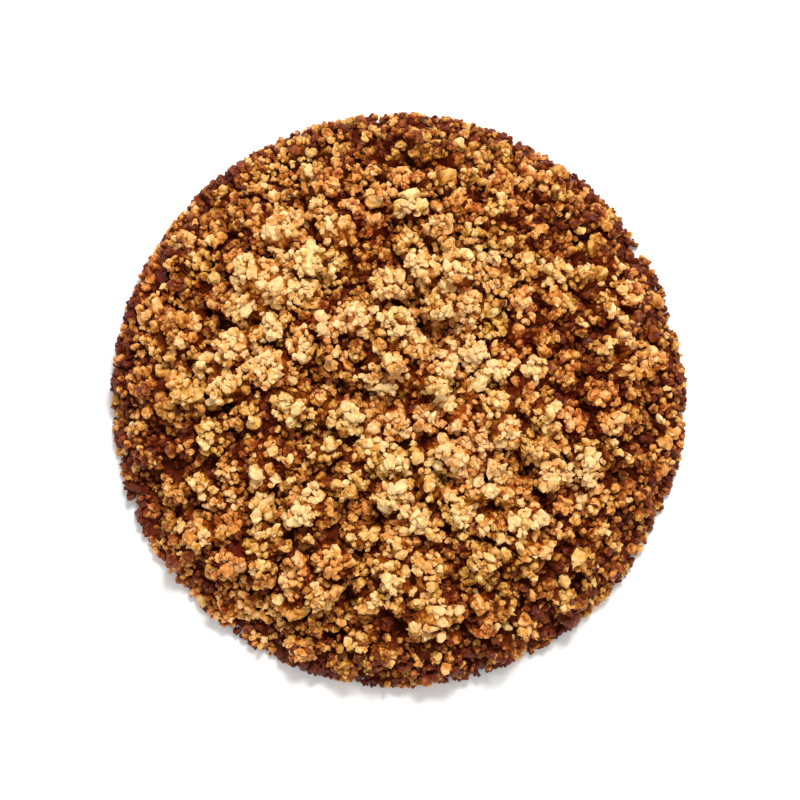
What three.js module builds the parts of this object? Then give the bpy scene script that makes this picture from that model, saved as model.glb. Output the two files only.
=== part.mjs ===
// A heap of granulated piloncillo, the unrefined cane sugar of Mexico, as it lies on a table.
// The moist grains cling together in crumbs two to five millimetres wide. The heap is round, a
// little taller than a quarter of its width, flat underneath where it rests on the table, and
// steep at its foot. It is one closed solid: a smaller core with the crumbs fused onto it.
// Millimetres, +Z up, the origin under the middle of the heap on the surface it rests on.
// Seen from straight above, +X is to the right and +Y towards the top.

import * as THREE from "three";

// The heap was filled into a ring that was then lifted off, so its outline is round.
const HEAP_WIDTH = 60;

// The core without its crumbs: a rounded mound whose top stays nearly level.
const CORE_WIDTH = 59;
const CORE_HEIGHT = 13.5;
const TOP_FLATNESS = 3.6;
const FLANK_ROUNDNESS = 1.7;
const FLANK_STEPS = 120;

// The crumbs, most of them small, the lobes of grains that each one is made of, and the gaps
// between the crumbs, which grow shallower below the foot's height, to a tenth at the table.
const CRUMB_PITCH = 3.0;
const CRUMB_RADIUS = [1.4, 2.5];
const SMALL_CRUMB_BIAS = 1.5;
const CRUMB_JITTER = 1.4;
const CRUMB_RISE = [-1.5, -0.1];
const LOBES_PER_CRUMB = [2, 5];
const LOBE_SHARE = [0.5, 0.78];
const GRAIN_JITTER = 0.18;
const GAP_DEPTH = 1.3;
const FOOT_HEIGHT = 6;
const GAP_AT_TABLE = 0.1;
const CRUMB_SEED = 20417;

// The net of points that the relief is drawn on: rings round the top, one step apart, each
// with six more points than the one inside it.
const RINGS = 44;
const RING_SIDES = 6;
const POINT_SEED = 7031;
const POINT_JITTER = 0.22;
const LOWEST_FLANK = 0.3;

// Hollows between the crumbs that are wider than the rest: a line from one point to another,
// half the width there, and how far the sugar lies below what surrounds it. Their full depth
// reaches to half of that half width, and they run out at 1.6 times it.
const FULL_WITHIN = 0.5;
const GONE_BEYOND = 1.6;
const HOLLOWS = [
  { from: [0.6, 10.4], to: [5.1, 6.2], half: 1.7, depth: 3.4 },
  { from: [-8.6, 2.1], to: [0.2, -0.8], half: 1.5, depth: 2.6 },
  { from: [-19.4, 17.5], to: [-19.8, 5.8], half: 2.0, depth: 2.8 },
  { from: [-24.5, 11.5], to: [-20.5, 13.0], half: 1.8, depth: 2.0 },
  { from: [9.3, -7.5], to: [14.5, -9.1], half: 1.3, depth: 2.6 },
  { from: [23.4, -13.3], to: [28.9, -14.3], half: 2.0, depth: 2.8 },
  { from: [-20.5, -18.5], to: [-14.0, -24.6], half: 2.2, depth: 2.4 },
  { from: [-29.6, -8.3], to: [-25.0, -11.8], half: 2.0, depth: 2.2 },
  { from: [-12.2, 25.0], to: [-11.4, 20.6], half: 1.6, depth: 2.2 },
  { from: [17.0, 20.6], to: [19.6, 11.0], half: 1.7, depth: 2.0 },
  { from: [25.3, 15.6], to: [28.4, 8.6], half: 2.0, depth: 2.2 },
  { from: [-5.7, -11.4], to: [-1.2, -13.2], half: 1.5, depth: 2.4 },
  { from: [-3.3, -19.3], to: [-6.7, -26.6], half: 1.4, depth: 2.0 },
  { from: [14.0, -23.4], to: [16.4, -26.4], half: 1.4, depth: 2.0 },
  { from: [-14.8, -9.2], to: [-11.6, -11.4], half: 1.3, depth: 1.8 },
];

// Places where the crumbs stand proud of the rest, drawn in the same way.
const RIDGES = [
  { from: [-14.2, 11.4], to: [-8.6, 7.0], half: 2.6, height: 1.3 },
  { from: [-1.6, 7.6], to: [4.6, -0.2], half: 3.0, height: 1.4 },
  { from: [2.9, 21.0], to: [3.2, 18.4], half: 2.3, height: 1.1 },
  { from: [5.4, 13.8], to: [5.8, 11.4], half: 2.2, height: 1.2 },
  { from: [-12.0, 1.8], to: [-9.0, -3.2], half: 2.5, height: 1.1 },
  { from: [8.7, 3.2], to: [12.2, -1.8], half: 2.6, height: 1.0 },
  { from: [-25.4, -0.2], to: [-19.4, -0.8], half: 2.1, height: 0.9 },
  { from: [8.4, -10.4], to: [13.6, -11.4], half: 2.0, height: 1.0 },
  { from: [-19.8, -15.4], to: [-18.8, -17.4], half: 1.9, height: 0.9 },
  { from: [16.0, -0.8], to: [23.4, -0.6], half: 2.2, height: 0.8 },
];

const SUGAR_COLOUR = 0xc08a4c;

// A repeatable run of numbers from 0 to 1, so that the heap is the same each time.
function drawFrom(seed) {
  const factor = 1664525;
  const step = 1013904223;
  const range = 2 ** 32;
  let state = seed;
  return () => {
    state = (state * factor + step) % range;
    return state / range;
  };
}

const between = ([low, high], share) => low + (high - low) * share;

// The mound's outline from its top down to its foot, as radius and height.
function flankCurve() {
  const radius = CORE_WIDTH / 2;
  const points = [];
  for (let i = 0; i <= FLANK_STEPS; i++) {
    const turn = (i / FLANK_STEPS) * (Math.PI / 2);
    const out = radius * Math.sin(turn) ** (2 / TOP_FLATNESS);
    const up = CORE_HEIGHT * Math.cos(turn) ** (2 / FLANK_ROUNDNESS);
    points.push(new THREE.Vector2(out, up));
  }
  return new THREE.SplineCurve(points);
}

const flank = flankCurve();
const flankLength = flank.getLength();

// A point of the bare mound and the direction away from it. The share runs from 0 at the top
// to 1 at the foot, and the angle goes round from +X towards +Y.
function onMound(share, angle) {
  const at = flank.getPointAt(share);
  const along = flank.getTangentAt(share);
  const round = new THREE.Vector2(Math.cos(angle), Math.sin(angle));
  const point = new THREE.Vector3(at.x * round.x, at.x * round.y, at.y);
  const away = new THREE.Vector3(-along.y * round.x, -along.y * round.y, along.x);
  return { point, away: away.normalize() };
}

// How much of a hollow's or ridge's full effect reaches a place, from 1 on its line to 0.
function reach(place, { from, to, half }) {
  const start = new THREE.Vector2(...from);
  const line = new THREE.Vector2(...to).sub(start);
  const here = new THREE.Vector2(place.x, place.y).sub(start);
  const share = THREE.MathUtils.clamp(here.dot(line) / line.lengthSq(), 0, 1);
  const distance = here.addScaledVector(line, -share).length();
  return 1 - THREE.MathUtils.smoothstep(distance, half * FULL_WITHIN, half * GONE_BEYOND);
}

function swell(place) {
  let lift = 0;
  for (const ridge of RIDGES) lift = Math.max(lift, ridge.height * reach(place, ridge));
  let drop = 0;
  for (const hollow of HOLLOWS) drop = Math.max(drop, hollow.depth * reach(place, hollow));
  return lift - drop;
}

// Gaps and hollows run out towards the foot, which stands in an unbroken round line.
function footFade(place) {
  return THREE.MathUtils.lerp(GAP_AT_TABLE, 1, THREE.MathUtils.smoothstep(place.z, 0, FOOT_HEIGHT));
}

// One crumb as a handful of overlapping round lobes.
function crumbLobes(centre, radius, draw) {
  const count = Math.round(between(LOBES_PER_CRUMB, draw()));
  const lobes = [];
  for (let i = 0; i < count; i++) {
    const size = radius * between(LOBE_SHARE, draw());
    const turn = draw() * Math.PI * 2;
    const rise = draw() * 2 - 1;
    const side = Math.sqrt(1 - rise * rise);
    const offset = new THREE.Vector3(side * Math.cos(turn), side * Math.sin(turn), rise);
    const middle = centre.clone().addScaledVector(offset, radius - size);
    lobes.push(new THREE.Sphere(middle, size));
  }
  return lobes;
}

// All the crumbs, spread evenly over the mound in a sunflower's spiral and then jittered.
function heapLobes() {
  const draw = drawFrom(CRUMB_SEED);
  const goldenAngle = Math.PI * (3 - Math.sqrt(5));
  const count = Math.round((Math.PI * flankLength ** 2) / CRUMB_PITCH ** 2);
  const lobes = [];
  for (let i = 0; i < count; i++) {
    const outward = Math.sqrt((i + 0.5) / count) + (CRUMB_JITTER / flankLength) * (draw() - 0.5);
    const share = THREE.MathUtils.clamp(outward, 0, 1);
    const sideways = (CRUMB_JITTER / Math.max(share * flankLength, CRUMB_PITCH)) * (draw() - 0.5);
    const { point, away } = onMound(share, i * goldenAngle + sideways);
    const radius = between(CRUMB_RADIUS, draw() ** SMALL_CRUMB_BIAS);
    const rise = between(CRUMB_RISE, draw()) + swell(point) * footFade(point);
    lobes.push(...crumbLobes(point.addScaledVector(away, rise), radius, draw));
  }
  return lobes;
}

// How far a ray from the core runs before it meets the ring that the heap was filled into.
function roomInRing(point, away) {
  const out = Math.hypot(away.x, away.y);
  return out < 1e-6 ? Infinity : (HEAP_WIDTH / 2 - Math.hypot(point.x, point.y)) / out;
}

// How far out along a ray the last lobe ends, or the bottom of the gap where none is met.
function lastLobe(point, away, lobes, gap) {
  let furthest = gap;
  for (const { center, radius } of lobes) {
    const toCentre = center.clone().sub(point);
    const spare = radius * radius - toCentre.lengthSq();
    const ahead = toCentre.dot(away);
    const inside = spare + ahead * ahead;
    if (inside > 0) furthest = Math.max(furthest, ahead + Math.sqrt(inside));
  }
  return furthest;
}

// The relief's points: one at the top, then the rings, the last of them on the table.
function reliefPoints(lobes) {
  const draw = drawFrom(POINT_SEED);
  const reachOfLobe = CRUMB_RADIUS[1] + GAP_DEPTH + HOLLOWS[0].depth;
  const points = [];
  for (let ring = 0; ring <= RINGS; ring++) {
    const count = Math.max(1, ring * RING_SIDES);
    const atFoot = ring === RINGS;
    for (let i = 0; i < count; i++) {
      const shift = atFoot ? 0 : POINT_JITTER * (draw() * 2 - 1);
      const turn = (i + POINT_JITTER * (draw() * 2 - 1)) / count;
      const { point, away } = onMound(ring === 0 ? 0 : (ring + shift) / RINGS, turn * Math.PI * 2);
      const near = lobes.filter(({ center }) => center.distanceTo(point) < reachOfLobe);
      const gap = (swell(point) - GAP_DEPTH) * footFade(point);
      const out = lastLobe(point, away, near, gap) + GRAIN_JITTER * (draw() * 2 - 1);
      point.addScaledVector(away, Math.min(out, roomInRing(point, away)));
      point.z = atFoot ? 0 : Math.max(point.z, LOWEST_FLANK);
      points.push(point);
    }
  }
  return points;
}

// Joins the rings by triangles, and closes the solid with flat ones on the table.
function reliefFaces(footMiddle) {
  const first = (ring) => (ring === 0 ? 0 : 1 + (RING_SIDES / 2) * ring * (ring - 1));
  const at = (ring, i) => first(ring) + (ring === 0 ? 0 : i % (RING_SIDES * ring));
  const faces = [];
  for (let ring = 1; ring <= RINGS; ring++) {
    for (let side = 0; side < RING_SIDES; side++) {
      for (let i = 0; i < ring; i++) {
        const outer = side * ring + i;
        const inner = side * (ring - 1) + i;
        faces.push(at(ring, outer), at(ring, outer + 1), at(ring - 1, inner));
        if (i < ring - 1) faces.push(at(ring - 1, inner), at(ring, outer + 1), at(ring - 1, inner + 1));
      }
    }
  }
  for (let i = 0; i < RING_SIDES * RINGS; i++) faces.push(at(RINGS, i + 1), at(RINGS, i), footMiddle);
  return faces;
}

// The heap's solid, moved so that its box is centred on the origin.
function sugarHeapGeometry() {
  const points = reliefPoints(heapLobes());
  points.push(new THREE.Vector3(0, 0, 0));
  const geometry = new THREE.BufferGeometry().setFromPoints(points);
  geometry.setIndex(reliefFaces(points.length - 1));
  geometry.computeBoundingBox();
  const middle = geometry.boundingBox.getCenter(new THREE.Vector3());
  geometry.translate(-middle.x, -middle.y, 0);
  geometry.computeVertexNormals();
  return geometry;
}

function sugarMaterial() {
  return new THREE.MeshStandardMaterial({
    color: SUGAR_COLOUR,
    roughness: 0.55,
    metalness: 0,
    flatShading: true,
  });
}

const heap = new THREE.Mesh(sugarHeapGeometry(), sugarMaterial());
heap.name = "sugar_heap";

const group = new THREE.Group();
group.add(heap);

export default group;
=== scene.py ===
# A round heap of granulated piloncillo, the unrefined cane sugar of Mexico, seen from straight
# above. Lengths are worked out in millimetres and turned into metres where a mesh, a lamp or
# the camera is made. Tone is how pale the sugar is, from 0 to 1, with painted light and shade
# added in, and warmth how red.
import math

import bmesh
import bpy
import numpy as np
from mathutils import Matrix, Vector, kdtree, noise


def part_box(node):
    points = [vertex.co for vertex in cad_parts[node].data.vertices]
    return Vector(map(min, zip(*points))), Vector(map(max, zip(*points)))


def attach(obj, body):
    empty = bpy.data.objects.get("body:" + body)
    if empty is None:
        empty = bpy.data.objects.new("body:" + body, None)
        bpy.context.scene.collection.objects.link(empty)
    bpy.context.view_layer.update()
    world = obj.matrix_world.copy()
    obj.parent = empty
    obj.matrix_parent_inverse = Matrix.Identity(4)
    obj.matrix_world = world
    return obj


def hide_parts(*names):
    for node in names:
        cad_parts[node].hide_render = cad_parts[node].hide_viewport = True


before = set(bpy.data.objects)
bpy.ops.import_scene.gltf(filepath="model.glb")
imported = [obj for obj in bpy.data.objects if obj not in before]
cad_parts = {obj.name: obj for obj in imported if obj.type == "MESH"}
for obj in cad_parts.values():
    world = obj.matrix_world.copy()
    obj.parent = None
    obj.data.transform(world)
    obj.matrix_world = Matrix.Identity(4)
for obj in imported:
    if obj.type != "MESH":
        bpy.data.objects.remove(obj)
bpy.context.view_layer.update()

# The crumbs: moist sugar clings together in clusters three to six millimetres wide. Each has
# its own height and shade and a gap round it that comes and goes, and pits are left open where
# little sugar fell. The crumbs sit where the heap's own relief stands highest.
MM = 0.001
CRUMB_SPACING = (2.8, 6.0)
CRUMB_LIFT = (-0.7, 0.3)
CRUMB_ROUNDING = 0.02
GAP_WIDTH = 1.3
GAP_DEPTH = 1.1
GAP_WANDER = 3.0
WANDER_WIDTH = 2.0
RIPPLE_WIDTH = 0.6
PIT_WIDTH = 2.4
PIT_DEPTH = 4.5
PIT_CURVE = 1.5
LEVEL_REACH = 5.5
FOOT_HEIGHT = 6
SINK_AT_TABLE = 0.15
UPRIGHT = 0.7
CRUMB_TONE_SPREAD = 0.04
CRUMB_WARMTH = 0.45
CRUMB_WARMTH_SPREAD = 0.2
heap_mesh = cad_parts["sugar_heap"].data
heap_low, heap_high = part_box("sugar_heap")
half_width = (heap_high.x - heap_low.x) / 2 / MM
heap_height = heap_high.z / MM
draw = np.random.default_rng(4177)


def outward(points):
    """The way out of the heap at each of the points: up on top, sideways at the foot."""
    away = points / np.array([half_width, half_width, UPRIGHT * heap_height]) ** 2
    return away / np.linalg.norm(away, axis=1, keepdims=True)


def waves(points, width):
    """Smooth random waves at the points, each about width across, between -1 and 1."""
    return np.array([noise.noise(Vector(point) / width) for point in points])


def as_array(collection, name, width, kind):
    """One property of all of a mesh's corners or faces, as rows of width values."""
    values = np.empty(len(collection) * width, kind)
    collection.foreach_get(name, values)
    return values.reshape(-1, width)


def corners_of(mesh):
    """The mesh's corners in millimetres."""
    return as_array(mesh.vertices, "co", 3, np.float32).astype(float) / MM


def tree_of(points):
    """The points sorted so that those near a place are found fast."""
    tree = kdtree.KDTree(len(points))
    for i, point in enumerate(points):
        tree.insert(point, i)
    tree.balance()
    return tree


def whole_heap(cuts):
    """The heap's mesh with its corners merged and each edge cut that many times."""
    form = bmesh.new()
    form.from_mesh(heap_mesh)
    bmesh.ops.remove_doubles(form, verts=form.verts, dist=MM / 1000)
    bmesh.ops.subdivide_edges(form, edges=form.edges, cuts=cuts, use_grid_fill=True)
    bmesh.ops.triangulate(form, faces=form.faces)
    mesh = bpy.data.meshes.new("packed_sugar")
    form.to_mesh(mesh)
    form.free()
    return mesh


def without_relief(skin):
    """The skin with its relief smoothed away: each point moved to the mean of those near it."""
    tree = tree_of(skin)
    near = ([spot for spot, _, _ in tree.find_range(point, LEVEL_REACH)] for point in skin)
    return np.array([np.mean(spots, axis=0) for spots in near])


def crumb_tops(skin, level):
    """The highest places of the relief, each keeping clear of those that are higher still."""
    rise = np.einsum("ij,ij->i", skin - level, outward(skin))
    tops = np.empty((0, 3))
    for i in np.argsort(-rise):
        room = draw.uniform(*CRUMB_SPACING)
        if np.all(np.sum((tops - skin[i]) ** 2, axis=1) > room**2):
            tops = np.vstack([tops, skin[i]])
    return tops


def crumb_at(points):
    """For each point its crumb, how far inside that crumb it lies, and how deep the sugar
    sinks there below the heap's own skin."""
    found = [crumb_tree.find_n(point, 2) for point in points]
    crumb = np.array([first for (_, first, _), _ in found])
    near = np.array([distance for (_, _, distance), _ in found])
    far = np.array([distance for _, (_, _, distance) in found])
    bend = waves(points, WANDER_WIDTH) + waves(points, RIPPLE_WIDTH) / 2
    inside = far - near + GAP_WANDER * bend
    gap = GAP_DEPTH * np.clip(1 - inside / GAP_WIDTH, 0, 1)
    pit = PIT_DEPTH * np.maximum(waves(points, PIT_WIDTH), 0) ** PIT_CURVE
    sunk = gap + pit + CRUMB_ROUNDING * near**2 - crumb_lift[crumb]
    return crumb, inside, sunk * np.clip(points[:, 2] / FOOT_HEIGHT, SINK_AT_TABLE, 1)


bare_heap = whole_heap(0)
skin = corners_of(bare_heap)
skin = skin[skin[:, 2] > 0]
bpy.data.meshes.remove(bare_heap)
level = without_relief(skin)
level_tree = tree_of(level)
crumbs = crumb_tops(skin, level)
crumb_tree = tree_of(crumbs)
crumb_lift = draw.uniform(*CRUMB_LIFT, len(crumbs))
crumb_tone = draw.normal(0, CRUMB_TONE_SPREAD, len(crumbs))
crumb_warmth = draw.normal(CRUMB_WARMTH, CRUMB_WARMTH_SPREAD, len(crumbs))

# The imported sugar under and between the crumbs: fine moist sugar pressed together until it
# holds. It is the heap's own form drawn inwards and rough with nodules. It shows at the bottom
# of the gaps, and its colour is darkened as painted shade for the shadow there.
CORE_CUTS = 2
CORE_DEPTH = 1.65
CORE_SINK = 0.7
CORE_DEPTH_AT_TABLE = 0.22
FOOT_INSET = 0.45
LOWEST_FLANK = 0.05
NODULE_WIDTH = 0.6
NODULE_TOP = 0.6
NODULE_RISE = 1.4
FINE_GRIT = 0.08
# Painted shade over all the packed sugar, and painted light on its nodule tops with painted shade
# between them.
PAINTED_CORE_SHADE = 0.42
PAINTED_NODULE_SHADING = 0.3
TONE_ON_LEVEL = 0.87
# Painted shade in the hollows below the heap's smoothed skin, standing in for the shadow there.
PAINTED_HOLLOW_SHADE = 0.21
LOWEST_RISE = -3.2
HIGHEST_RISE = 0
PATCH_WIDTH = 7.5
PATCH_PALER = 0.36
# Painted light towards the heap's middle and painted shade, in spots, towards its edge, as light falls
# on the dome.
PAINTED_CENTRE_LIGHT = 0.2
PAINTED_EDGE_SHADE = 0.85
EDGE_CURVE = 5
SPOT_WIDTH = 1.6
SPOT_CONTRAST = 1.3
# From the darkest tone to the palest. The dark end shows mostly where painted shade brings the tone
# down, in gaps and at the edge.
YELLOWER = [(0, "#5C2206"), (0.25, "#8C4A0A"), (0.5, "#C68F38"), (0.75, "#DCB066"), (1, "#E4C486")]
REDDER = [(0, "#5C1A04"), (0.25, "#933E08"), (0.5, "#CD7F36"), (0.75, "#E0A15F"), (1, "#E6BD84")]
BLOTCH_WIDTH = 0.6
BLOTCH_DETAIL = 4
BLOTCH_STRENGTH = 1.1
BLOTCH_RANGE = (0.3, 0.7)
ROUGHNESS = (0.35, 0.7)
SUGAR_IOR = 1.55
PACKED_SHEEN = 0.12


def above_level(points):
    """How far each point stands above the heap's smoothed skin. It is below 0 in a hollow."""
    nearest = np.array([level_tree.find(point)[0] for point in points])
    return np.einsum("ij,ij->i", points - nearest, outward(points))


def tone_at(points):
    """How pale the sugar is, about 0 to 1: its own patches, with painted shade in the hollows below
    the heap's smoothed skin, painted light towards its middle and painted shade in spots towards its
    edge."""
    outer = np.linalg.norm(points[:, :2], axis=1) / half_width
    rise = np.clip(above_level(points), LOWEST_RISE, HIGHEST_RISE)
    # Painted shade in hollows, painted light in the middle, painted shade in spots at the edge; the
    # patches are the sugar's own.
    tone = TONE_ON_LEVEL + PAINTED_HOLLOW_SHADE * rise + PATCH_PALER * waves(points, PATCH_WIDTH)
    tone += PAINTED_CENTRE_LIGHT * (1 - outer) ** 2
    return tone - PAINTED_EDGE_SHADE * outer**EDGE_CURVE * (1 + SPOT_CONTRAST * waves(points, SPOT_WIDTH))


def keep_shades(mesh, tone, warmth):
    """Stores at each corner how pale the sugar is, painted light and shade included, and how red
    against yellow.
    """
    for label, values in (("tone", tone), ("warmth", warmth)):
        attribute = mesh.attributes.new(label, "FLOAT", "POINT")
        attribute.data.foreach_set("value", values.astype(np.float32))


def packed_form():
    """The heap's own form, sunk inwards under the crumbs and deeper in the gaps."""
    mesh = whole_heap(CORE_CUTS)
    points = corners_of(mesh)
    crumb, _, sunk = crumb_at(points)
    out = outward(points)
    down = np.clip(points[:, 2] / FOOT_HEIGHT, CORE_DEPTH_AT_TABLE, 1)
    depth = np.maximum(CORE_DEPTH + CORE_SINK * sunk, 0) * down
    smooth = points - out * depth[:, None]
    cells = (noise.voronoi(Vector(point) / NODULE_WIDTH)[0] for point in smooth)
    proud = np.array([min(second - first, NODULE_TOP) for first, second, _, _ in cells])
    proud -= NODULE_TOP / 2
    grit = draw.uniform(-FINE_GRIT, FINE_GRIT, len(points))
    rough = np.minimum(NODULE_RISE * proud * np.sqrt(down) + grit, depth)
    drawn_in = smooth + out * rough[:, None]
    # Painted shade all over the packed sugar, which shows only in the gaps, and painted light and shade
    # on its nodules.
    tone = tone_at(drawn_in) - PAINTED_CORE_SHADE + PAINTED_NODULE_SHADING * proud
    keep_shades(mesh, tone, crumb_warmth[crumb].clip(0, 1))
    drawn_in[:, 2] = np.maximum(drawn_in[:, 2], LOWEST_FLANK)
    on_table = points[:, 2] <= 0
    drawn_in[on_table] = points[on_table] * (1 - FOOT_INSET / half_width)
    mesh.vertices.foreach_set("co", (drawn_in * MM).astype(np.float32).ravel())
    mesh.update()
    mesh.shade_flat()
    return mesh


def linear(hex_colour):
    """A colour written as sRGB hex, turned to the linear values that shaders use."""
    channels = [int(hex_colour[i : i + 2], 16) / 255 for i in (1, 3, 5)]
    return [c / 12.92 if c <= 0.04045 else ((c + 0.055) / 1.055) ** 2.4 for c in channels] + [1]


def add_node(tree, kind, settings, inputs):
    """Adds one node. An input takes a value, or the socket of another node to link it to."""
    node = tree.nodes.new(kind)
    for name, value in settings.items():
        setattr(node, name, value)
    for name, value in inputs.items():
        if isinstance(value, bpy.types.NodeSocket):
            tree.links.new(value, node.inputs[name])
        else:
            node.inputs[name].default_value = value
    return node


def between_stops(ramp, stops):
    """Gives a colour ramp its stops, each a place from 0 to 1 and a hex colour."""
    while len(ramp.elements) < len(stops):
        ramp.elements.new(0.5)
    for element, (place, colour) in zip(ramp.elements, stops):
        element.position = place
        element.color = linear(colour)


def cane_sugar(name, sheen):
    """Sugar crystal under a film of molasses, coloured by the tone each corner keeps: red-brown at
    the dark end and golden at the pale end, where the tone holds painted shade and painted light as
    well as the sugar's own shade. It is mottled as the fine crystals of a lump lie, and half glossy
    with small glints."""
    material = bpy.data.materials.new(name)
    material.use_nodes = True
    tree = material.node_tree
    shader = tree.nodes["Principled BSDF"]
    place = add_node(tree, "ShaderNodeTexCoord", {}, {}).outputs["Object"]
    tone = add_node(tree, "ShaderNodeAttribute", {"attribute_name": "tone"}, {}).outputs["Fac"]
    warmth = add_node(tree, "ShaderNodeAttribute", {"attribute_name": "warmth"}, {}).outputs["Fac"]
    mottle = {"Vector": place, "Scale": 1 / (BLOTCH_WIDTH * MM), "Detail": BLOTCH_DETAIL}
    blotch = add_node(tree, "ShaderNodeTexNoise", {}, mottle).outputs["Fac"]
    centred = {0: blotch, 1: BLOTCH_STRENGTH, 2: -BLOTCH_STRENGTH / 2}
    uneven = add_node(tree, "ShaderNodeMath", {"operation": "MULTIPLY_ADD"}, centred).outputs[0]
    sum_of = {"operation": "ADD", "use_clamp": True}
    shade = add_node(tree, "ShaderNodeMath", sum_of, {0: tone, 1: uneven}).outputs[0]
    yellower = add_node(tree, "ShaderNodeValToRGB", {}, {"Fac": shade})
    between_stops(yellower.color_ramp, YELLOWER)
    redder = add_node(tree, "ShaderNodeValToRGB", {}, {"Fac": shade})
    between_stops(redder.color_ramp, REDDER)
    # A mix of colours takes its factor at socket 0 and its two colours at 6 and 7.
    film = {0: warmth, 6: yellower.outputs["Color"], 7: redder.outputs["Color"]}
    mixed = add_node(tree, "ShaderNodeMix", {"data_type": "RGBA"}, film)
    tree.links.new(mixed.outputs[2], shader.inputs["Base Color"])
    dull = {
        "Value": blotch,
        "From Min": BLOTCH_RANGE[0],
        "From Max": BLOTCH_RANGE[1],
        "To Min": ROUGHNESS[0],
        "To Max": ROUGHNESS[1],
    }
    gloss = add_node(tree, "ShaderNodeMapRange", {}, dull)
    tree.links.new(gloss.outputs[0], shader.inputs["Roughness"])
    shader.inputs["IOR"].default_value = SUGAR_IOR
    shader.inputs["Specular IOR Level"].default_value = sheen
    return material


def add_piece(name, mesh, material):
    """Adds a mesh of sugar to the scene, as a piece that moves with the whole heap."""
    piece = bpy.data.objects.new(name, mesh)
    bpy.context.scene.collection.objects.link(piece)
    mesh.materials.append(material)
    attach(piece, "root")
    return piece


# Packed sugar shows little gloss, as its fine wet crystals scatter the light.
moist_sugar = cane_sugar("moist_packed_sugar", PACKED_SHEEN)
packed_sugar = add_piece("packed_sugar", packed_form(), moist_sugar)
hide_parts("sugar_heap")

# The nuggets: cane syrup boiled down and stirred until it breaks up into rough lumps of fine
# crystals, about one to two millimetres across. A film of molasses glues a few of them
# together as a crumb. They get painted shade where they meet and in their creases, and painted light on
# top.
NUGGET_SIZE = (0.8, 2.3)
SMALL_NUGGET_BIAS = 1.8
NUGGET_DEPTH = (-0.1, 1.3)
NUGGET_KINDS = ("dark_nuggets", "amber_nuggets", "golden_nuggets", "pale_nuggets")
TOUCHING = 0.28
APART = 0.45
EMPTY_GAP = (0.2, 1.2)
FOOT_DEPTH = (0, 0.5)
OUTLINE_BAND = 1.8
OUTLINE_DEPTH = (0, 0.3)
OUTLINE_PUSH = 0.6
FOOT_SEAT = 0.25
SEAT = 0.4
SEATED_BELOW = 0.28
CONTACT = 0.36
TRIES = 75000
WALL_TRIES = 24000
WALL_SIZE = (0.8, 1.5)
WALL_STEEPNESS = 0.7
WALL_OUT = 0.2
NUGGET_SHAPES = 60
NUGGET_CORNERS = 46
CORNER_JITTER = 0.6
CORNER_REACH = (0.82, 1.18)
KNOBS = (4, 9)
KNOB_OUT = (0.12, 0.28)
KNOB_RADIUS = (0.18, 0.28)
MIDDLE_RADIUS = 0.32
NUGGET_STRETCH = ((0.95, 0.8, 0.7), (1.25, 1.05, 0.95))
# Painted highlight on knobs, painted shade in creases, and painted light high up with painted shade low
# down.
PAINTED_KNOB_LIGHT = 0.07
PAINTED_CREASE_SHADE = 0.18
PAINTED_LIGHT_BY_HEIGHT = 0.14
NUGGET_TONE_SPREAD = 0.14
NUGGET_WARMTH_SPREAD = 0.2
CRYSTAL_SHEEN = 0.2


def sphere_faces(directions):
    """The triangles that join points of a round shape, as corner numbers."""
    form = bmesh.new()
    for direction in directions:
        form.verts.new(direction)
    bmesh.ops.convex_hull(form, input=form.verts)
    bmesh.ops.triangulate(form, faces=form.faces)
    bmesh.ops.recalc_face_normals(form, faces=form.faces)
    form.verts.index_update()
    faces = np.array([[v.index for v in face.verts] for face in form.faces])
    form.free()
    return faces


def nugget_shape():
    """One rough lump about one unit across, as its corners, its faces and the painted light and shade
    at each corner: a ball of small knobs with creases between them, paler on the knobs and darker in
    the creases."""
    turn = np.arange(NUGGET_CORNERS) * math.pi * (3 - math.sqrt(5))
    up = 1 - (2 * np.arange(NUGGET_CORNERS) + 1) / NUGGET_CORNERS
    flat = np.sqrt(1 - up**2)
    directions = np.stack([flat * np.cos(turn), flat * np.sin(turn), up], axis=1)
    directions += draw.normal(0, CORNER_JITTER / math.sqrt(NUGGET_CORNERS), directions.shape)
    directions /= np.linalg.norm(directions, axis=1, keepdims=True)
    middles = draw.normal(size=(draw.integers(*KNOBS), 3))
    middles /= np.linalg.norm(middles, axis=1, keepdims=True)
    middles *= draw.uniform(*KNOB_OUT, (len(middles), 1))
    radius = draw.uniform(*KNOB_RADIUS, len(middles))
    ahead = directions @ middles.T
    spare = radius**2 - np.sum(middles**2, axis=1) + ahead**2
    reach = np.where(spare > 0, ahead + np.sqrt(np.maximum(spare, 0)), 0).max(axis=1)
    reach = np.maximum(reach, MIDDLE_RADIUS) * draw.uniform(*CORNER_REACH, NUGGET_CORNERS)
    proud = (reach - reach.mean()) / reach.std()
    # Painted highlight on the knobs and painted shade in the creases.
    shade = PAINTED_KNOB_LIGHT * np.maximum(proud, 0) + PAINTED_CREASE_SHADE * np.minimum(proud, 0)
    corners = directions * reach[:, None] * draw.uniform(*NUGGET_STRETCH)
    return corners, sphere_faces(directions), shade


def spread_over(mesh, count):
    """Places drawn evenly over a mesh without its flat underside, and the way they face."""
    corners = corners_of(mesh)
    mesh.calc_loop_triangles()
    faces = as_array(mesh.loop_triangles, "vertices", 3, np.int32)
    faces = faces[corners[faces][:, :, 2].max(axis=1) > 0]
    a, b, c = (corners[faces[:, k]] for k in range(3))
    facing = np.cross(b - a, c - a)
    area = np.linalg.norm(facing, axis=1)
    pick = draw.choice(len(faces), count, p=area / area.sum())
    u, v = draw.random((2, count))
    over = u + v > 1
    u[over], v[over] = 1 - u[over], 1 - v[over]
    places = a[pick] + u[:, None] * (b - a)[pick] + v[:, None] * (c - a)[pick]
    return places, facing[pick] / area[pick, None]


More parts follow.
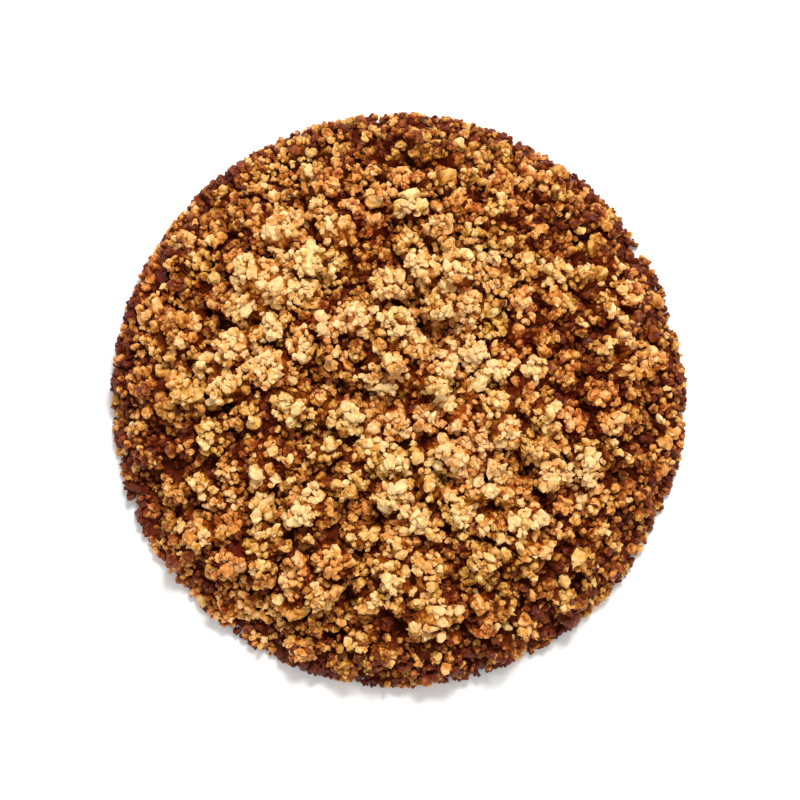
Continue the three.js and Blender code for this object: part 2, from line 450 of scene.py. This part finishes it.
def wall_lumps():
    """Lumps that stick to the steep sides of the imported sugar, with their sizes."""
    walls, facing = spread_over(packed_sugar.data, WALL_TRIES)
    steep = np.einsum("ij,ij->i", facing, outward(walls)) < WALL_STEEPNESS
    size = draw.uniform(*WALL_SIZE, steep.sum())
    return walls[steep] + facing[steep] * size[:, None] * WALL_OUT, size


def kept_in_ring(places, size):
    """Moves lumps that stick out of the round outline back inside it, and those that reach
    into the table up onto it."""
    reach = np.linalg.norm(places[:, :2], axis=1) + size / 2
    places[:, :2] *= np.minimum(1, half_width / reach)[:, None]
    places[:, 2] = np.maximum(places[:, 2], size / 2)
    return places


def out_to_ring(places, size):
    """Moves the lowest lumps out a little, towards the round outline that they fill."""
    low = places[:, 2] < OUTLINE_BAND
    reach = np.linalg.norm(places[low, :2], axis=1)
    room = half_width - draw.uniform(*OUTLINE_DEPTH, low.sum()) - size[low] / 2 - reach
    places[low, :2] *= (1 + np.clip(room, 0, OUTLINE_PUSH) / reach)[:, None]
    return places


def spaced(places, size, crumb):
    """The numbers of those lumps that keep clear of all that are taken before them. Lumps of
    one crumb sit closer than those of two."""
    cell = NUGGET_SIZE[1]
    steps = [(dx, dy, dz) for dx in (-1, 0, 1) for dy in (-1, 0, 1) for dz in (-1, 0, 1)]
    taken = {}
    kept = []
    lumps = zip(places.tolist(), size.tolist(), crumb.tolist())
    for number, ((x, y, z), across, own) in enumerate(lumps):
        home = (int(x // cell), int(y // cell), int(z // cell))
        cells = ((home[0] + dx, home[1] + dy, home[2] + dz) for dx, dy, dz in steps)
        near = (lump for cell_at in cells for lump in taken.get(cell_at, ()))
        for px, py, pz, other, its in near:
            reach = (TOUCHING if its == own else APART) * (across + other)
            if (px - x) ** 2 + (py - y) ** 2 + (pz - z) ** 2 < reach * reach:
                break
        else:
            taken.setdefault(home, []).append((x, y, z, across, own))
            kept.append(number)
    return np.array(kept)


def clinging(places, size, seated):
    """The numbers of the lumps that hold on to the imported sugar, straight or through others."""
    tree = tree_of(places)
    held = seated.copy()
    newly = list(np.flatnonzero(seated))
    while newly:
        lump = newly.pop()
        farthest = CONTACT * (size[lump] + NUGGET_SIZE[1])
        for _, other, distance in tree.find_range(places[lump], farthest):
            if not held[other] and distance < CONTACT * (size[lump] + size[other]):
                held[other] = True
                newly.append(other)
    return np.flatnonzero(held)


def place_nuggets():
    """Where each lump lies, its size and its crumb. Few lie in the gaps between crumbs, and
    the foot is covered all round. A lump that nothing holds up is left out."""
    places, _ = spread_over(heap_mesh, TRIES)
    places = places[np.argsort(places[:, 2] > FOOT_HEIGHT, kind="stable")]
    smallest, largest = NUGGET_SIZE
    size = smallest + (largest - smallest) * draw.random(TRIES) ** SMALL_NUGGET_BIAS
    crumb, inside, sunk = crumb_at(places)
    foot = places[:, 2] <= FOOT_HEIGHT
    at_foot = draw.uniform(*FOOT_DEPTH, TRIES)
    depth = np.where(foot, at_foot, draw.uniform(*NUGGET_DEPTH, TRIES) + sunk)
    depth += size * np.where(foot, FOOT_SEAT, SEAT)
    seated = foot | (depth + SEATED_BELOW * size > CORE_DEPTH + CORE_SINK * sunk)
    places = places - outward(places) * depth[:, None]
    keep = foot | (inside > draw.uniform(*EMPTY_GAP, TRIES))
    walls, wall_size = wall_lumps()
    places = np.vstack([places[keep], walls])
    size = np.append(size[keep], wall_size)
    crumb = np.append(crumb[keep], crumb_at(walls)[0])
    seated = np.append(seated[keep], np.ones(len(walls), bool))
    places = kept_in_ring(out_to_ring(places, size), size)
    kept = spaced(places, size, crumb)
    kept = kept[clinging(places[kept], size[kept], seated[kept])]
    return places[kept], size[kept], crumb[kept]


def turned_any_way(count):
    """One random rotation matrix for each of count things."""
    turns = draw.normal(size=(count, 4))
    turns /= np.linalg.norm(turns, axis=1, keepdims=True)
    w, x, y, z = turns.T
    rows = [
        [1 - 2 * (y * y + z * z), 2 * (x * y - w * z), 2 * (x * z + w * y)],
        [2 * (x * y + w * z), 1 - 2 * (x * x + z * z), 2 * (y * z - w * x)],
        [2 * (x * z - w * y), 2 * (y * z + w * x), 1 - 2 * (x * x + y * y)],
    ]
    return np.array(rows).transpose(2, 0, 1)


def closed_mesh(name, corners, faces):
    """A mesh of triangles from corners in millimetres, none of them below the table."""
    corners[:, 2] = np.maximum(corners[:, 2], 0)
    mesh = bpy.data.meshes.new(name)
    mesh.vertices.add(len(corners))
    mesh.vertices.foreach_set("co", (corners * MM).astype(np.float32).ravel())
    mesh.loops.add(faces.size)
    mesh.loops.foreach_set("vertex_index", faces.astype(np.int32).ravel())
    mesh.polygons.add(len(faces))
    mesh.polygons.foreach_set("loop_start", np.arange(0, faces.size, 3, dtype=np.int32))
    return mesh


def joined_lumps(name, shapes, places, size, tone, warmth):
    """One mesh with a lump at each place, a shape picked and turned at random. A lump gets painted
    light where it stands high, and painted shade low down and in its creases."""
    turned = turned_any_way(len(places))
    pick = draw.integers(len(shapes), size=len(places))
    out = outward(places)
    corners, faces, tones, warmths = [], [], [], []
    first = 0
    for k, (shape, shape_faces, shade) in enumerate(shapes):
        mine = np.flatnonzero(pick == k)
        spots = np.einsum("nij,vj->nvi", turned[mine], shape) * size[mine, None, None]
        rise = np.einsum("nvi,ni->nv", spots, out[mine])
        corners.append((spots + places[mine, None]).reshape(-1, 3))
        starts = first + np.arange(len(mine)) * len(shape)
        faces.append((shape_faces + starts[:, None, None]).reshape(-1, 3))
        # Painted light on the lump's high side and painted shade on its low side.
        tones.append((tone[mine, None] + shade + PAINTED_LIGHT_BY_HEIGHT * rise).ravel())
        warmths.append(np.repeat(warmth[mine], len(shape)))
        first += len(mine) * len(shape)
    mesh = closed_mesh(name, np.concatenate(corners), np.concatenate(faces))
    keep_shades(mesh, np.concatenate(tones), np.concatenate(warmths))
    mesh.update(calc_edges=True)
    mesh.shade_flat()
    return mesh


# The crystals on a lump's outside are coarser, so their faces give small glints.
crystal_sugar = cane_sugar("molasses_coated_crystal", CRYSTAL_SHEEN)
spots, across, crumb = place_nuggets()
# A nugget's tone takes the painted light and shade of tone_at where it lies, plus its crumb's and its
# own random shade.
nugget_tone = tone_at(spots) + crumb_tone[crumb] + draw.normal(0, NUGGET_TONE_SPREAD, len(spots))
nugget_warmth = crumb_warmth[crumb] + draw.normal(0, NUGGET_WARMTH_SPREAD, len(spots))
nugget_warmth = np.clip(nugget_warmth, 0, 1)
nugget_shapes = [nugget_shape() for _ in range(NUGGET_SHAPES)]
# The nuggets are split into four pieces by tone, which holds painted light and shade as well as their
# own shade.
by_tone = np.array_split(np.argsort(nugget_tone), len(NUGGET_KINDS))
for kind, mine in zip(NUGGET_KINDS, by_tone):
    lumps = (spots[mine], across[mine], nugget_tone[mine], nugget_warmth[mine])
    add_piece(kind, joined_lumps(kind, nugget_shapes, *lumps), crystal_sugar)

# Loose crystals: grains of about half a millimetre to one that broke off the nuggets, and
# stuck wherever they touched the film. They are the sugar's finest grit.
CRYSTAL_SIZE = (0.4, 0.95)
CRYSTALS = 10000
CRYSTAL_CORNERS = (8, 8, 9, 9, 10, 10, 11, 11)
CRYSTAL_RADIUS = (0.42, 0.56)
CRYSTAL_STRETCH = ((0.95, 0.7, 0.5), (1.3, 0.95, 0.8))
STUCK_AT = (0.25, 0.38)
MORE_ON_TOP = 1.2
CRYSTAL_TONE_SPREAD = 0.12


def crystal_shape(corner_count):
    """One broken crystal about one unit across: a closed hull of flat facets."""
    spots = draw.normal(size=(corner_count, 3))
    spots /= np.linalg.norm(spots, axis=1, keepdims=True)
    spots *= draw.uniform(*CRYSTAL_RADIUS, (corner_count, 1)) * draw.uniform(*CRYSTAL_STRETCH)
    form = bmesh.new()
    for spot in spots:
        form.verts.new(spot)
    made = bmesh.ops.convex_hull(form, input=form.verts)
    unused = [v for v in made["geom_interior"] if isinstance(v, bmesh.types.BMVert)]
    bmesh.ops.delete(form, geom=unused, context="VERTS")
    bmesh.ops.recalc_face_normals(form, faces=form.faces)
    form.verts.index_update()
    corners = np.array([v.co for v in form.verts])
    faces = np.array([[v.index for v in face.verts] for face in form.faces])
    form.free()
    return corners, faces, np.zeros(len(corners))


host = draw.integers(len(spots), size=CRYSTALS)
side = draw.normal(size=(CRYSTALS, 3)) + MORE_ON_TOP * outward(spots[host])
side /= np.linalg.norm(side, axis=1, keepdims=True)
crystal_size = draw.uniform(*CRYSTAL_SIZE, CRYSTALS)
stuck = spots[host] + side * (across[host] * draw.uniform(*STUCK_AT, CRYSTALS))[:, None]
stuck = kept_in_ring(stuck, crystal_size)
rise = np.einsum("ij,ij->i", stuck - spots[host], outward(stuck))
# Painted light on crystals stuck high on their nugget and painted shade on those low down.
crystal_tone = nugget_tone[host] + PAINTED_LIGHT_BY_HEIGHT * rise + draw.normal(0, CRYSTAL_TONE_SPREAD, CRYSTALS)
crystal_shapes = [crystal_shape(count) for count in CRYSTAL_CORNERS]
crystals = (stuck, crystal_size, crystal_tone, nugget_warmth[host])
crystal_mesh = joined_lumps("loose_crystals", crystal_shapes, *crystals)
add_piece("loose_crystals", crystal_mesh, crystal_sugar)

# The camera looks straight down on the heap through a long lens, as in the photograph, where
# the round of sugar is 577 pixels wide and its middle lies a little left of the picture's.
PICTURE = 800
ROUND_ACROSS = 577
ROUND_MIDDLE_X = 398.5
CAMERA_HEIGHT = 700
SENSOR_WIDTH = 36
mm_per_pixel = 2 * half_width / ROUND_ACROSS
camera_data = bpy.data.cameras.new("overhead")
camera_data.sensor_width = SENSOR_WIDTH
camera_data.lens = SENSOR_WIDTH * CAMERA_HEIGHT / (PICTURE * mm_per_pixel)
camera = bpy.data.objects.new("overhead", camera_data)
camera.location = Vector(((PICTURE / 2 - ROUND_MIDDLE_X) * mm_per_pixel, 0, CAMERA_HEIGHT)) * MM
bpy.context.scene.collection.objects.link(camera)
bpy.context.scene.camera = camera

# The table under the heap, a white laminate that is nearly matt, and the studio's light: a
# square lamp high up beyond the heap's far side, its bearing counted from +X towards +Y, and
# white walls that fill the shadows.
TABLE_WIDTH = 4000
TABLE_ROUGHNESS = 0.7
KEY_BEARING = math.radians(75)
KEY_HEIGHT = math.radians(60)
KEY_DISTANCE = 1200
KEY_WIDTH = 320
KEY_POWER = 14.2
FILL = 0.82
bpy.ops.mesh.primitive_plane_add(size=TABLE_WIDTH * MM)
table = bpy.context.object
table.name = "table"
white = bpy.data.materials.new("white_laminate")
white.use_nodes = True
laminate = white.node_tree.nodes["Principled BSDF"]
laminate.inputs["Base Color"].default_value = linear("#F7F6F4")
laminate.inputs["Roughness"].default_value = TABLE_ROUGHNESS
table.data.materials.append(white)

key_data = bpy.data.lights.new("key", "AREA")
key_data.size = KEY_WIDTH * MM
key_data.energy = KEY_POWER
key = bpy.data.objects.new("key", key_data)
level_way = (math.cos(KEY_BEARING) * math.cos(KEY_HEIGHT), math.sin(KEY_BEARING) * math.cos(KEY_HEIGHT))
away = Vector((*level_way, math.sin(KEY_HEIGHT)))
key.location = away * KEY_DISTANCE * MM
key.rotation_euler = away.to_track_quat("Z", "Y").to_euler()
bpy.context.scene.collection.objects.link(key)

world = bpy.data.worlds.new("studio")
world.use_nodes = True
walls = world.node_tree.nodes["Background"]
walls.inputs["Color"].default_value = linear("#FFFFFF")
walls.inputs["Strength"].default_value = FILL
bpy.context.scene.world = world
bpy.context.scene.view_settings.view_transform = "Standard"
